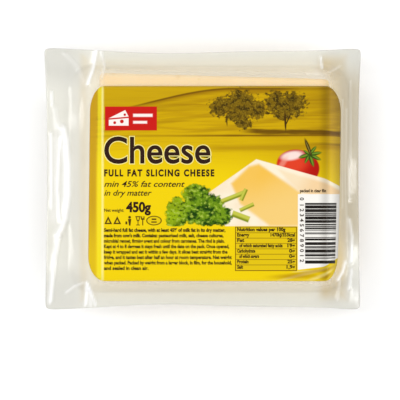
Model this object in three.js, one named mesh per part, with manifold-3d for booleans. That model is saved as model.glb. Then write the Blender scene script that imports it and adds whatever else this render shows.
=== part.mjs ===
// A block of semi-hard cheese in a sealed film pack, lying on its back with the label up.
// Millimetres, +Z up. The origin is under the middle of the pack, on the surface it lies on.
// Four pieces: the cheese, the formed lower film, the flat upper film drawn down over the
// cheese, and the label stuck on the upper film. The two films are sealed round the rim.
import * as THREE from "three";
import { mergeVertices } from "three/addons/utils/BufferGeometryUtils.js";
import Module from "manifold-3d";

// Cheese
const CHEESE_LENGTH = 110; // along X
const CHEESE_WIDTH = 100; // along Y
const CHEESE_HEIGHT = 38;
const CHEESE_EDGE_RADIUS = 2.5; // edges pressed round by the film
const CHEESE_CORNER_RADIUS = 4; // upright corners, in plan

// Films and label
const FILM_GAUGE = 0.3;
const LABEL_GAUGE = 0.2;
const CONTACT_GAP = 0.1; // between pieces that touch
const LABEL_OVERHANG = 5.5; // past each end of the cheese, seen from above
const LABEL_BACK_MARGIN = 6.6; // of cheese left bare behind the label
const LABEL_FRONT_MARGIN = 0.4;
const LABEL_CORNER_RADIUS = 9;

// From the sides of the cheese out to where the two films meet. The hollow in the lower
// film is longer than the cheese, and the cheese sits nearer its right end.
const LEFT_RUN = 15.3;
const RIGHT_RUN = 9.5;
const FRONT_RUN = 5.7;
const BACK_RUN = 4.3;

// The sealed rim
const SEAL_LEFT = 11.2; // its width at each side, at the pack's corners
const SEAL_RIGHT = 6;
const SEAL_FRONT = 7.5;
const SEAL_BACK = 7.5;
const SEAL_HEIGHT = 24; // over the surface the pack lies on
const RIM_CORNER_RADIUS = 12; // of the rim's inner line
const PACK_CORNER_RADIUS = 3;
const END_PULL = 1.6; // how far each end is drawn in at its middle
const SIDE_PULL = 2.4; // how far each long side is drawn in at its middle
const UPPER_SAG = 1.15; // 1 is a straight film from the cheese's edge to the rim
const LOWER_SAG = 1.7;

// Fineness of the mesh
const CORNER_STEPS = 6;
const SIDE_STEPS = 5;
const EDGE_STEPS = 4;
const SLOPE_STEPS = 6;

// Places that follow from the sizes above
const PACK_LENGTH = SEAL_LEFT + LEFT_RUN + CHEESE_LENGTH + RIGHT_RUN + SEAL_RIGHT;
const PACK_WIDTH = SEAL_FRONT + FRONT_RUN + CHEESE_WIDTH + BACK_RUN + SEAL_BACK;
const CHEESE_X = -PACK_LENGTH / 2 + SEAL_LEFT + LEFT_RUN + CHEESE_LENGTH / 2;
const CHEESE_Y = -PACK_WIDTH / 2 + SEAL_FRONT + FRONT_RUN + CHEESE_WIDTH / 2;
const BASE_Z = FILM_GAUGE + CONTACT_GAP; // underside of the cheese
const TOP_Z = BASE_Z + CHEESE_HEIGHT;

const wasm = await Module();
wasm.setup();

// A rounded rectangle as a ring of points, each with the direction that points outwards.
// Rings with the same step counts match point for point.
function ring(halfX, halfY, radius) {
  const points = [];
  const cornerX = halfX - radius;
  const cornerY = halfY - radius;
  const corners = [
    [cornerX, cornerY],
    [-cornerX, cornerY],
    [-cornerX, -cornerY],
    [cornerX, -cornerY],
  ];
  corners.forEach(([x, y], quarter) => {
    for (let step = 0; step <= CORNER_STEPS; step++) {
      const angle = (quarter + step / CORNER_STEPS) * (Math.PI / 2);
      const out = new THREE.Vector2(Math.cos(angle), Math.sin(angle));
      points.push({ at: new THREE.Vector2(x, y).addScaledVector(out, radius), out });
    }
    const last = points.at(-1);
    const [nextX, nextY] = corners[(quarter + 1) % 4];
    const end = new THREE.Vector2(nextX, nextY).addScaledVector(last.out, radius);
    for (let step = 1; step < SIDE_STEPS; step++)
      points.push({
        at: last.at.clone().lerp(end, step / SIDE_STEPS),
        out: last.out.clone(),
      });
  });
  return points;
}

const moved = (points, x, y) =>
  points.map(({ at, out }) => ({ at: at.clone().add(new THREE.Vector2(x, y)), out }));

// The flat part of the cheese's top or bottom face.
const faceRing = moved(
  ring(
    CHEESE_LENGTH / 2 - CHEESE_EDGE_RADIUS,
    CHEESE_WIDTH / 2 - CHEESE_EDGE_RADIUS,
    CHEESE_CORNER_RADIUS - CHEESE_EDGE_RADIUS,
  ),
  CHEESE_X,
  CHEESE_Y,
);

// The line where the two films meet.
const rimRing = moved(
  ring(
    (PACK_LENGTH - SEAL_LEFT - SEAL_RIGHT) / 2,
    (PACK_WIDTH - SEAL_FRONT - SEAL_BACK) / 2,
    RIM_CORNER_RADIUS,
  ),
  (SEAL_LEFT - SEAL_RIGHT) / 2,
  (SEAL_FRONT - SEAL_BACK) / 2,
);

// The cut edge of the pack: its corners stand out, because the films draw the sides in.
const edgeRing = ring(PACK_LENGTH / 2, PACK_WIDTH / 2, PACK_CORNER_RADIUS).map(
  ({ at, out }) => {
    const shareX = at.x / (PACK_LENGTH / 2);
    const shareY = at.y / (PACK_WIDTH / 2);
    return {
      at: new THREE.Vector2(
        at.x - END_PULL * shareX * (1 - shareY * shareY),
        at.y - SIDE_PULL * shareY * (1 - shareX * shareX),
      ),
      out,
    };
  },
);

// The rings of a film's inner surface, from the cheese's face out to the pack's edge:
// flat on the face, round the edge, then sagging to the rim. up is 1 for the upper film
// and -1 for the lower one.
function filmRings(up) {
  const faceZ = up > 0 ? TOP_Z + CONTACT_GAP : BASE_Z - CONTACT_GAP;
  const sealZ = SEAL_HEIGHT + (up * CONTACT_GAP) / 2;
  const radius = CHEESE_EDGE_RADIUS + CONTACT_GAP;
  const sag = up > 0 ? UPPER_SAG : LOWER_SAG;
  const rings = [faceRing.map(({ at }) => new THREE.Vector3(at.x, at.y, faceZ))];
  const steepest = faceRing.map(({ at }, i) =>
    Math.atan2(
      sag * Math.abs(faceZ - sealZ),
      at.distanceTo(rimRing[i].at) - radius,
    ),
  );
  for (let step = 1; step <= EDGE_STEPS; step++)
    rings.push(
      faceRing.map(({ at, out }, i) => {
        const angle = (steepest[i] * step) / EDGE_STEPS;
        const place = at.clone().addScaledVector(out, radius * Math.sin(angle));
        const z = faceZ - up * radius * (1 - Math.cos(angle));
        return new THREE.Vector3(place.x, place.y, z);
      }),
    );
  const shoulder = rings.at(-1);
  for (let step = 1; step <= SLOPE_STEPS; step++) {
    const share = step / SLOPE_STEPS;
    rings.push(
      shoulder.map((from, i) => {
        const rim = rimRing[i].at;
        const run = Math.hypot(rim.x - from.x, rim.y - from.y);
        const fall = Math.abs(from.z - sealZ);
        const power = (Math.tan(steepest[i]) * run) / fall;
        return new THREE.Vector3(
          THREE.MathUtils.lerp(from.x, rim.x, share),
          THREE.MathUtils.lerp(from.y, rim.y, share),
          sealZ + up * fall * (1 - share) ** power,
        );
      }),
    );
  }
  rings.push(edgeRing.map(({ at }) => new THREE.Vector3(at.x, at.y, sealZ)));
  return rings;
}

// Triangles of a surface made of a middle point and rings, counter-clockwise from above.
// Vertex 0 is the middle, and ring r's point i is vertex 1 + r * count + i.
function surfaceTriangles(ringCount, count) {
  const triangles = [];
  const vertex = (r, i) => 1 + r * count + (i % count);
  for (let i = 0; i < count; i++) triangles.push([0, vertex(0, i), vertex(0, i + 1)]);
  for (let r = 0; r + 1 < ringCount; r++)
    for (let i = 0; i < count; i++) {
      triangles.push([vertex(r, i), vertex(r + 1, i), vertex(r + 1, i + 1)]);
      triangles.push([vertex(r, i), vertex(r + 1, i + 1), vertex(r, i + 1)]);
    }
  return triangles;
}

function geometryOf(vertices, triangles) {
  const geometry = new THREE.BufferGeometry();
  const numbers = vertices.flatMap((v) => v.toArray());
  geometry.setAttribute("position", new THREE.Float32BufferAttribute(numbers, 3));
  geometry.setIndex(triangles.flat());
  geometry.computeVertexNormals();
  return geometry;
}

// A closed sheet that lies between two distances from a surface, on its outer side.
function sheet(rings, up, near, far) {
  const count = rings[0].length;
  const middle = rings[0]
    .reduce((sum, p) => sum.add(p), new THREE.Vector3())
    .divideScalar(count);
  const surface = [middle, ...rings.flat()];
  const faces = surfaceTriangles(rings.length, count);
  const normals = geometryOf(surface, faces).getAttribute("normal");
  const shifted = (distance) =>
    surface.map((p, i) =>
      p
        .clone()
        .addScaledVector(
          new THREE.Vector3().fromBufferAttribute(normals, i),
          up * distance,
        ),
    );
  const bottom = up > 0 ? near : far;
  const top = up > 0 ? far : near;
  // The distances grow along the outer side, so the lower film's far surface is its bottom.
  const vertices = [...shifted(top), ...shifted(bottom)];
  const offset = surface.length;
  const triangles = [...faces];
  for (const [a, b, c] of faces) triangles.push([offset + a, offset + c, offset + b]);
  const lastRing = 1 + (rings.length - 1) * count;
  for (let i = 0; i < count; i++) {
    const here = lastRing + i;
    const next = lastRing + ((i + 1) % count);
    triangles.push([here, offset + here, offset + next]);
    triangles.push([here, offset + next, next]);
  }
  return geometryOf(vertices, triangles);
}

// The cheese: rings up its rounded lower edge, then its rounded upper edge.
function cheeseGeometry() {
  const rings = [];
  for (let step = 0; step <= EDGE_STEPS; step++) {
    const angle = ((step / EDGE_STEPS) * Math.PI) / 2;
    const inset = CHEESE_EDGE_RADIUS * Math.sin(angle);
    const rise = CHEESE_EDGE_RADIUS * (1 - Math.cos(angle));
    rings.push({ reach: inset, z: BASE_Z + rise });
  }
  for (let step = EDGE_STEPS; step >= 0; step--) {
    const { reach, z } = rings[step];
    rings.push({ reach, z: BASE_Z + TOP_Z - z });
  }
  const placed = rings.map(({ reach, z }) =>
    faceRing.map(({ at, out }) => {
      const place = at.clone().addScaledVector(out, reach);
      return new THREE.Vector3(place.x, place.y, z);
    }),
  );
  const count = faceRing.length;
  const middle = (z) => new THREE.Vector3(CHEESE_X, CHEESE_Y, z);
  const vertices = [middle(BASE_Z), ...placed.flat(), middle(TOP_Z)];
  const triangles = surfaceTriangles(placed.length, count).map(([a, b, c]) => [a, c, b]);
  const lastRing = 1 + (placed.length - 1) * count;
  for (let i = 0; i < count; i++)
    triangles.push([lastRing + i, lastRing + ((i + 1) % count), vertices.length - 1]);
  return geometryOf(vertices, triangles);
}

function solidOf(geometry) {
  const bare = geometry.clone();
  bare.deleteAttribute("normal");
  bare.deleteAttribute("uv");
  const merged = mergeVertices(bare, 1e-4);
  return new wasm.Manifold(
    new wasm.Mesh({
      numProp: 3,
      vertProperties: merged.getAttribute("position").array,
      triVerts: new Uint32Array(merged.index.array),
    }),
  );
}

function geometryFrom(solid) {
  const mesh = solid.getMesh();
  const geometry = new THREE.BufferGeometry();
  geometry.setAttribute("position", new THREE.BufferAttribute(mesh.vertProperties, 3));
  geometry.setIndex(new THREE.BufferAttribute(mesh.triVerts, 1));
  geometry.computeVertexNormals();
  return geometry;
}

// The label: a sheet over the whole upper film, cut to the label's outline.
function labelGeometry(upperRings) {
  const near = FILM_GAUGE + CONTACT_GAP;
  const blank = sheet(upperRings, 1, near, near + LABEL_GAUGE);
  const length = CHEESE_LENGTH + 2 * LABEL_OVERHANG;
  const width = CHEESE_WIDTH - LABEL_BACK_MARGIN - LABEL_FRONT_MARGIN;
  const outline = new THREE.Shape(
    ring(length / 2, width / 2, LABEL_CORNER_RADIUS).map(({ at }) => at),
  );
  const cutterHeight = 2 * TOP_Z;
  const cutter = new THREE.ExtrudeGeometry(outline, {
    depth: cutterHeight,
    bevelEnabled: false,
  });
  const labelY = CHEESE_Y + (LABEL_FRONT_MARGIN - LABEL_BACK_MARGIN) / 2;
  cutter.translate(CHEESE_X, labelY, 0);
  return geometryFrom(solidOf(blank).intersect(solidOf(cutter)));
}

function piece(name, geometry, color, roughness) {
  const material = new THREE.MeshStandardMaterial({ color, roughness, metalness: 0 });
  const mesh = new THREE.Mesh(geometry, material);
  mesh.name = name;
  return mesh;
}

const upperRings = filmRings(1);
const lowerRings = filmRings(-1);

const pack = new THREE.Group();
pack.add(
  piece("cheese_block", cheeseGeometry(), 0xf6dfa0, 0.5),
  piece("lower_film", sheet(lowerRings, -1, 0, FILM_GAUGE), 0xe6e4da, 0.2),
  piece("upper_film", sheet(upperRings, 1, 0, FILM_GAUGE), 0xe9e7dc, 0.15),
  piece("label", labelGeometry(upperRings), 0xe8c60f, 0.3),
);

export default pack;
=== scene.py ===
# %% [markdown]
# # A block of cheese in a sealed film pack
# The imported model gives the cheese, the two films and the label at their true sizes, in
# metres. It is loaded first, because every piece made here takes its place from it.

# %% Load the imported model
import math

import bpy
import numpy as np
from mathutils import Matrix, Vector, noise


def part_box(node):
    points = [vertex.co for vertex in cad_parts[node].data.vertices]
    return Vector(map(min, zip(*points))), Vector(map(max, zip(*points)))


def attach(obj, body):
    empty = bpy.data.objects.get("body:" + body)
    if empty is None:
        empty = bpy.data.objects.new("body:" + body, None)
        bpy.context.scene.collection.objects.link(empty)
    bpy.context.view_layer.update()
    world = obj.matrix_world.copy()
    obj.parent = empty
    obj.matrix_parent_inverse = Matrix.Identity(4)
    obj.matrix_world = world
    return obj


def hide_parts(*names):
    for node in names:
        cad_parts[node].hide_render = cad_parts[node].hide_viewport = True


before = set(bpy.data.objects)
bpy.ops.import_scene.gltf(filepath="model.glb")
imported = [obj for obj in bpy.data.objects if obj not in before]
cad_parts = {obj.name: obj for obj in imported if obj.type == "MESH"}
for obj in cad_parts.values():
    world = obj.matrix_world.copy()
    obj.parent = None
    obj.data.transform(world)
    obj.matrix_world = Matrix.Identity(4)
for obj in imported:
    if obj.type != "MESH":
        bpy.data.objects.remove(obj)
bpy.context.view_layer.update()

scene = bpy.context.scene
MM = 0.001
CHEESE_LOW, CHEESE_HIGH = (Vector(corner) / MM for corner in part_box("cheese_block"))
print("cheese, mm:", [round(v, 1) for v in (*CHEESE_LOW, *CHEESE_HIGH)])

# %% [markdown]
# A long lens looks straight down on the pack, so that it shows almost no perspective. The
# pack lies a little above the middle of the view.

# %% Camera
LENS = 200.0
SENSOR = 36.0
VIEW_WIDTH = 190.5 * MM
VIEW_CENTRE = (-1.4 * MM, -10.2 * MM)
camera_data = bpy.data.cameras.new("camera")
camera_data.lens = LENS
camera_data.sensor_width = SENSOR
camera_height = CHEESE_HIGH.z * MM + VIEW_WIDTH * LENS / SENSOR
camera = bpy.data.objects.new("camera", camera_data)
camera.location = (*VIEW_CENTRE, camera_height)
scene.collection.objects.link(camera)
scene.camera = camera
scene.view_settings.view_transform = "Standard"
print("camera height, m:", round(camera_height, 3))

# %% [markdown]
# Clear film shows itself mostly by what it mirrors, so the lights matter as much as the
# material does. A pale room all round would leave it flat. Two long narrow boxes, one on
# each side, draw the thin bright lines that its folds catch, and two broad soft ones at the
# far and the near side light the label and the cheese evenly.

# %% Lights
ROOM_LIGHT = 0.61
world = bpy.data.worlds.new("room")
world.use_nodes = True
world.node_tree.nodes["Background"].inputs["Color"].default_value = (1, 1, 1, 1)
world.node_tree.nodes["Background"].inputs["Strength"].default_value = ROOM_LIGHT
scene.world = world


def soft_box(name, place, width, height, power):
    """An area light that faces the pack."""
    data = bpy.data.lights.new(name, "AREA")
    data.shape = "RECTANGLE"
    data.size = width
    data.size_y = height
    data.energy = power
    light = bpy.data.objects.new(name, data)
    light.location = place
    light.rotation_euler = (-Vector(place)).to_track_quat("-Z", "Y").to_euler()
    scene.collection.objects.link(light)
    print(name, "watts:", power)


soft_box("left_strip", (-0.75, 0.1, 0.66), 0.18, 0.9, 3.7)
soft_box("right_strip", (0.85, -0.1, 0.6), 0.14, 0.7, 3.2)
soft_box("far_box", (0.1, 0.85, 0.8), 0.9, 0.2, 2.8)
soft_box("near_box", (0.0, -0.95, 1.05), 0.9, 0.5, 3.4)

# %% [markdown]
# A material is a tree of nodes. Made one by one, its nodes take many lines that say little,
# so a small language makes them: a Value is the number that a node gives, and arithmetic on
# it adds the Math nodes, and a Finish is the material that the nodes belong to.

# %% A small language for materials
def colour(red, green, blue):
    """A colour picked from an 8-bit chart, as the light values that shaders work in."""
    def light(value):
        share = value / 255
        if share <= 0.04045:
            return share / 12.92
        return ((share + 0.055) / 1.055) ** 2.4
    return (light(red), light(green), light(blue), 1.0)


class Value:
    """A number that a node gives, so that shader maths reads as arithmetic."""

    def __init__(self, finish, socket):
        self.finish = finish
        self.socket = socket

    def math(self, operation, *others):
        sockets = dict(enumerate((self, *others)))
        return self.finish.value("ShaderNodeMath", {"operation": operation}, sockets)

    def __add__(self, other):
        return self.math("ADD", other)

    def __sub__(self, other):
        return self.math("SUBTRACT", other)

    def __rsub__(self, other):
        return (self * -1.0).math("ADD", other)

    def __mul__(self, other):
        return self.math("MULTIPLY", other)

    def __truediv__(self, other):
        return self.math("DIVIDE", other)


class Finish:
    """A material under construction."""

    def __init__(self, name):
        self.material = bpy.data.materials.new(name)
        self.material.use_nodes = True
        self.tree = self.material.node_tree
        self.tree.nodes.clear()

    def add(self, kind, settings=None, sockets=None):
        """A node of a kind, with its settings made first and its sockets filled or linked."""
        node = self.tree.nodes.new(kind)
        for key, setting in (settings or {}).items():
            setattr(node, key, setting)
        for key, filling in (sockets or {}).items():
            if isinstance(filling, Value):
                self.tree.links.new(filling.socket, node.inputs[key])
            elif isinstance(filling, bpy.types.NodeSocket):
                self.tree.links.new(filling, node.inputs[key])
            else:
                node.inputs[key].default_value = filling
        return node

    def value(self, kind, settings=None, sockets=None, output=0):
        return Value(self, self.add(kind, settings, sockets).outputs[output])

    def step(self, number, low, high):
        """0 below low, 1 above high, and smooth between them."""
        settings = {"interpolation_type": "SMOOTHSTEP"}
        sockets = {"Value": number, "From Min": low, "From Max": high}
        return self.value("ShaderNodeMapRange", settings, sockets)

    def below(self, number, low, high):
        """1 below low, 0 above high, and smooth between them."""
        return 1.0 - self.step(number, low, high)

    def near(self, number, full, gone):
        """1 where a number is no further than full from 0, and 0 past gone."""
        return self.below(number.math("ABSOLUTE"), full, gone)

    def off_span(self, number, span):
        """How far a number lies outside a span, below 0 inside it."""
        return (number - sum(span) / 2).math("ABSOLUTE") - (span[1] - span[0]) / 2

    def noise(self, where, scale, detail=3.0):
        sockets = {"Vector": where, "Scale": scale, "Detail": detail}
        return self.value("ShaderNodeTexNoise", None, sockets)

    def mix(self, share, under, over):
        """One colour over another, as far as share says."""
        node = self.add("ShaderNodeMix", {"data_type": "RGBA"}, {"Factor": share})
        for socket, filling in ((node.inputs[6], under), (node.inputs[7], over)):
            if isinstance(filling, bpy.types.NodeSocket):
                self.tree.links.new(filling, socket)
            else:
                socket.default_value = filling
        return node.outputs[2]

    def bump(self, height, distance, strength=1.0):
        sockets = {"Height": height, "Distance": distance, "Strength": strength}
        return self.add("ShaderNodeBump", None, sockets).outputs[0]

    def close(self, sockets):
        """Makes the surface from its sockets' fillings and links it to the output."""
        shader = self.add("ShaderNodeBsdfPrincipled", None, sockets)
        self.add("ShaderNodeOutputMaterial", None, {"Surface": shader.outputs[0]})
        return self.material


# %% [markdown]
# The floor is one large sheet of pale paper under the pack. A plane does for it, and a faint
# mottle keeps it from looking empty. It only stages the pack and isn't part of the object.

# %% Floor
FLOOR_SIZE = 6.0
FLOOR_DROP = 0.0002


def finish_floor():
    f = Finish("pale_floor")
    where = f.add("ShaderNodeTexCoord").outputs["Object"]
    mottle = f.noise(where, 6.0)
    tint = f.mix(mottle, (0.965, 0.97, 0.975, 1), (0.98, 0.985, 0.99, 1))
    return f.close({"Base Color": tint, "Roughness": 0.9})


bpy.ops.object.select_all(action="DESELECT")
bpy.ops.mesh.primitive_plane_add(size=FLOOR_SIZE, location=(0, 0, -FLOOR_DROP))
floor = bpy.context.object
floor.name = "floor"
bpy.ops.object.transform_apply(location=True)
floor.data.materials.append(finish_floor())
print("floor, m:", FLOOR_SIZE)

# %% [markdown]
# The cheese is one cut block. A plain cube would look machined, so its far side runs a little
# askew, its edges are rounded as far as the film presses them, and its faces get the faint
# unevenness of a cut with a wire.

# %% Cheese block
EDGE_RADIUS = 2.5 * MM
FAR_EDGE_SKEW = 3.0
UNEVENNESS_SIZE = 14 * MM
UNEVENNESS_DEPTH = 0.35 * MM


def tell_triangles(piece):
    print(piece.name, "triangles:", sum(len(face.vertices) - 2 for face in piece.data.polygons))


size = (CHEESE_HIGH - CHEESE_LOW) * MM
centre = (CHEESE_HIGH + CHEESE_LOW) / 2 * MM
bpy.ops.object.select_all(action="DESELECT")
bpy.ops.mesh.primitive_cube_add(size=1, location=centre, scale=size)
cheese = bpy.context.object
cheese.name = "cheese"
bpy.ops.object.transform_apply(location=True, scale=True)
for corner in cheese.data.vertices:
    if corner.co.x > centre.x and corner.co.y > centre.y:
        corner.co.y -= FAR_EDGE_SKEW * MM
bpy.ops.object.mode_set(mode="EDIT")
bpy.ops.mesh.select_all(action="SELECT")
bpy.ops.mesh.subdivide(number_cuts=11)
bpy.ops.object.mode_set(mode="OBJECT")
rounding = cheese.modifiers.new("rounding", "BEVEL")
rounding.width = EDGE_RADIUS
rounding.segments = 5
rounding.limit_method = "ANGLE"
bpy.ops.object.modifier_apply(modifier="rounding")
smooth = cheese.modifiers.new("smooth", "SUBSURF")
smooth.subdivision_type = "SIMPLE"
smooth.levels = 2
smooth.render_levels = 2
bpy.ops.object.modifier_apply(modifier="smooth")
unevenness = bpy.data.textures.new("unevenness", "CLOUDS")
unevenness.noise_scale = UNEVENNESS_SIZE
wire_cut = cheese.modifiers.new("wire_cut", "DISPLACE")
wire_cut.texture = unevenness
wire_cut.texture_coords = "LOCAL"
wire_cut.mid_level = 0.9
wire_cut.strength = UNEVENNESS_DEPTH
bpy.ops.object.modifier_apply(modifier="wire_cut")
bpy.ops.object.shade_smooth()
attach(cheese, "root")
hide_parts("cheese_block")
tell_triangles(cheese)

# %% [markdown]
# Young semi-hard cheese is smooth, dense and slightly translucent, with a few small eyes.
# The colour drifts a little, the eyes are shallow dimples with painted shade in them, and the skin under
# the film is moist.

# %% Cheese finish
def finish_cheese():
    f = Finish("cheese")
    where = f.add("ShaderNodeTexCoord").outputs["Object"]
    drift = f.noise(where, 60.0, 4.0)
    tint = f.mix(drift, colour(232, 201, 148), colour(240, 214, 166))
    eyes = f.value("ShaderNodeTexVoronoi", {"feature": "F1"}, {"Vector": where, "Scale": 95.0})
    eye = f.below(eyes, 0.06, 0.16)
    # the eyes are painted darker, as shade in the dimples
    tint = f.mix(eye * 0.5, tint, colour(214, 172, 104))
    grain = f.noise(where, 900.0, 4.0)
    relief = f.bump(grain * 0.4 - eye, 0.0004, 0.6)
    return f.close({
        "Base Color": tint,
        "Roughness": 0.42,
        "Normal": relief,
        "Subsurface Weight": 0.35,
        "Subsurface Radius": (1.0, 0.7, 0.35),
        "Subsurface Scale": 0.004,
    })


cheese.data.materials.clear()
cheese.data.materials.append(finish_cheese())

# %% [markdown]
# The films. Each starts as a flat sheet cut to the pack's outline, and the vacuum draws the
# upper one down over the cheese and the lower one up round it, to a rim where they are
# sealed. A cloth simulation could drape them, but it would not hold the rim level or the
# label flat. So their heights are worked out point by point from two distances, how far a
# point lies outside the cheese's face and how far inside the rim.

# %% Where the films lie
FACE_RADIUS = 2.5
FACE_X = (CHEESE_LOW.x + FACE_RADIUS, CHEESE_HIGH.x - FACE_RADIUS)
FACE_Y = (CHEESE_LOW.y + FACE_RADIUS, CHEESE_HIGH.y - FACE_RADIUS)
FACE_CORNER = 1.5
RIM_X = (-64.8, 70.0)
RIM_Y = (-55.0, 55.0)
RIM_RADIUS = 12.0
SEAL_Z = 24.0
EDGE_GAP = 0.45
UPPER_Z = CHEESE_HIGH.z + EDGE_GAP
LOWER_Z = 0.08
UPPER_HOLLOW = 1.12
LEFT_END = (40, 50)
LEFT_END_HOLLOW = 0.08
LOWER_HOLLOW = 1.35
STEEPEST = 6


def outside(x, y, span_x, span_y, radius):
    """The distance outside a rounded rectangle, below 0 inside it."""
    across = np.abs(x - sum(span_x) / 2) - (span_x[1] - span_x[0]) / 2 + radius
    along = np.abs(y - sum(span_y) / 2) - (span_y[1] - span_y[0]) / 2 + radius
    beyond = np.hypot(np.maximum(across, 0), np.maximum(along, 0))
    return beyond + np.minimum(np.maximum(across, along), 0) - radius


def off_face(x, y):
    """The distance outside the cheese's flat face, whose far edge is cut a little askew."""
    askew = FAR_EDGE_SKEW * np.clip((x - FACE_X[0]) / (FACE_X[1] - FACE_X[0]), 0, 1)
    return outside(x, y + askew * np.clip(y / FACE_Y[1], 0, 1), FACE_X, FACE_Y, FACE_CORNER)


def smooth_least(a, b, blend):
    """The smaller of two heights, with their meeting line rounded."""
    share = np.clip(0.5 + 0.5 * (b - a) / blend, 0, 1)
    return b + (a - b) * share - blend * share * (1 - share)


def drawn_away(x, y, drop, power):
    """How far a film has come from the cheese's flat face, in mm: 0 on it, drop at the rim.

    It follows the rounded edge first and then leaves it without a kink, hollow for a power
    above 1.
    """
    away = off_face(x, y)
    inside_rim = np.maximum(-outside(x, y, RIM_X, RIM_Y, RIM_RADIUS), 0)
    beyond = np.clip(away, 0, None)
    run = beyond + inside_rim + 1e-6
    radius = FACE_RADIUS + EDGE_GAP
    rise = np.zeros_like(run)
    for _ in range(6):  # the rise at the edge and the slope there settle each other
        steepness = np.minimum(power * (drop + rise) / run, STEEPEST)
        rise = radius * (np.hypot(1, steepness) - 1)
    slope = drop - (drop + rise) * (1 - beyond / run) ** power
    slope = np.where(away < 0, away * steepness - rise, slope)
    sheet = -smooth_least(np.zeros_like(x), -slope, 2.0)
    edge = radius - np.sqrt(np.clip(radius ** 2 - beyond ** 2, 0, None))
    return np.minimum(sheet, np.where(beyond < radius, edge, drop))


def upper_height(x, y):
    """The upper film's height before it creases, in mm."""
    left = np.interp(-x, LEFT_END, (0, 1))
    return UPPER_Z - drawn_away(x, y, UPPER_Z - SEAL_Z, UPPER_HOLLOW + LEFT_END_HOLLOW * left)


def lower_height(x, y):
    """The lower film's height: from under the cheese, up to the same rim."""
    return LOWER_Z + drawn_away(x, y, SEAL_Z - LOWER_Z, LOWER_HOLLOW)


print("films, mm: upper from", round(UPPER_Z, 2), "and lower from", LOWER_Z, "to the seal at", SEAL_Z)

# %% [markdown]
# Where the pack was pulled, folded and stacked, the film has kept creases. Each is a path
# with a width and a height in mm, raised from the film like a small ridge that is steep on
# one side. Sculpting them would leave nothing to adjust, so they stay a list. Each also paints
# the film white along it, partly for the whitening of folded film and partly as painted
# highlight where the folds catch the light; those of no height are painted highlight only.

# %% Creases
CREASES = (
    # path, width, height, how white it is painted (whitening and painted highlight): first the folded
    # left end of the rim
    (((-66.6, 24), (-65.4, 18.8), (-64.7, 6.5), (-64.7, -7.8), (-66.1, -19.2), (-69, -26.9)),
        2.2, 1.1, 0.9),
    (((-69, -26.9), (-70.9, -36.4), (-72.2, -48), (-73.3, -59)), 1.6, 0.8, 0.9),
    (((-68.6, 19), (-69.6, 6.5), (-70, -5), (-69, -20)), 0.9, 0.45, 0.7),
    (((-73.2, 22), (-73.2, 4), (-73, -14)), 0.9, 0.42, 0.7),
    # the next two raise nothing and only paint the film white, as painted highlight
    (((-70.4, 18), (-70.8, -18)), 4.2, 0.0, 0.4),
    (((-66.4, 15), (-65.8, 4), (-66.4, -15)), 1.5, 0.0, 0.7),
    (((-72.8, 42), (-72.4, 36)), 0.8, 0.4, 0.7),
    (((-71, 34), (-69, 24), (-67, 18)), 2.2, 0.3, 0.3),
    # the pinched far corner of the left end
    (((-51.2, 62), (-52.8, 52), (-54.9, 45.5)), 1.2, 0.8, 1.0),
    (((-48.8, 62), (-47.2, 54), (-47.6, 48.5)), 1.0, 0.6, 0.5),
    (((-66, 60), (-60, 54), (-57, 47)), 1.4, 0.4, 0.2),
    # the near corner of the left end
    (((-55.6, -50.2), (-56.4, -60.5)), 1.0, 0.7, 1.0),
    (((-55.2, -50.2), (-51.6, -60.5)), 1.0, 0.6, 0.8),
    # this one raises nothing and only paints the film white, as painted highlight
    (((-55.0, -53.0), (-54.0, -60.5)), 1.7, 0.0, 0.6),
    (((-66, -54.5), (-62, -51.6), (-58, -50)), 0.9, 0.4, 0.5),
    # the right end
    (((71.0, -19.5), (72.2, -28), (71.6, -40)), 1.3, 0.75, 0.9),
    (((68.9, -40.5), (67.4, -45), (65.2, -48.5)), 1.2, 0.8, 0.8),
    (((71.9, -44), (70.6, -53)), 1.0, 0.6, 0.7),
    (((66.2, -49), (65.2, -58)), 1.0, 0.5, 0.4),
    (((67.4, 38), (67.6, 5), (67.2, -14)), 0.6, 0.3, 0.3),
    (((69.4, 34), (69.0, 0), (69.6, -30)), 0.6, 0.32, 0.3),
    (((71.6, 47), (71.2, -10)), 0.8, 0.3, 0.4),
    # the far side
    (((57.1, 58.8), (57.6, 53.6)), 0.8, 0.6, 0.9),
    (((66, 54), (60, 50.5), (50, 50)), 0.8, 0.3, 0.3),
)
STEEP_SIDE = 0.45


def ridge(x, y, path, width, height):
    """A soft-shouldered ridge along a path, in mm, steeper to the left of its direction."""
    nearest = np.full_like(x, 1e9)
    for (ax, ay), (bx, by) in zip(path, path[1:]):
        run = np.array((bx - ax, by - ay))
        share = np.clip(((x - ax) * run[0] + (y - ay) * run[1]) / (run @ run), 0, 1)
        off = np.hypot(x - ax - share * run[0], y - ay - share * run[1])
        on_left = run[0] * (y - ay) > run[1] * (x - ax)
        nearest = np.minimum(nearest, off / np.where(on_left, width * STEEP_SIDE, width))
    return height * np.exp(-(nearest ** 2))


print("creases:", len(CREASES))

# %% [markdown]
# The sealed rim is thin and free, so it waves and curls, while the film on the cheese and
# under the label lies flat. Random waves of three sizes, faded in away from both, do that.
# The film is a fine grid, so that it can take the waves and the creases.

# %% Film sheets
LABEL_SPAN_X = (-54.8, 66.2)
LABEL_SPAN_Y = (-48.8, 44.0)
LABEL_SPAN_CORNER = 9
OUTLINE_X = 76.9
OUTLINE_Y = 63.3
SHEET_STEP = 0.75
SIDE_PULL_X, SIDE_PULL_Y = 1.6, 2.4
RIGHT_CURL_FROM = 68
FREE_RUN = 9


def crumple(x, y, scale, seed):
    """Soft random waves of a size, in mm."""
    return np.array([
        noise.noise(Vector((px / scale, py / scale, seed))) for px, py in zip(x, y)
    ])


def points_of(piece):
    """A mesh's points, one row each."""
    points = np.empty(len(piece.data.vertices) * 3)
    piece.data.vertices.foreach_get("co", points)
    return points.reshape(-1, 3)


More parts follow.
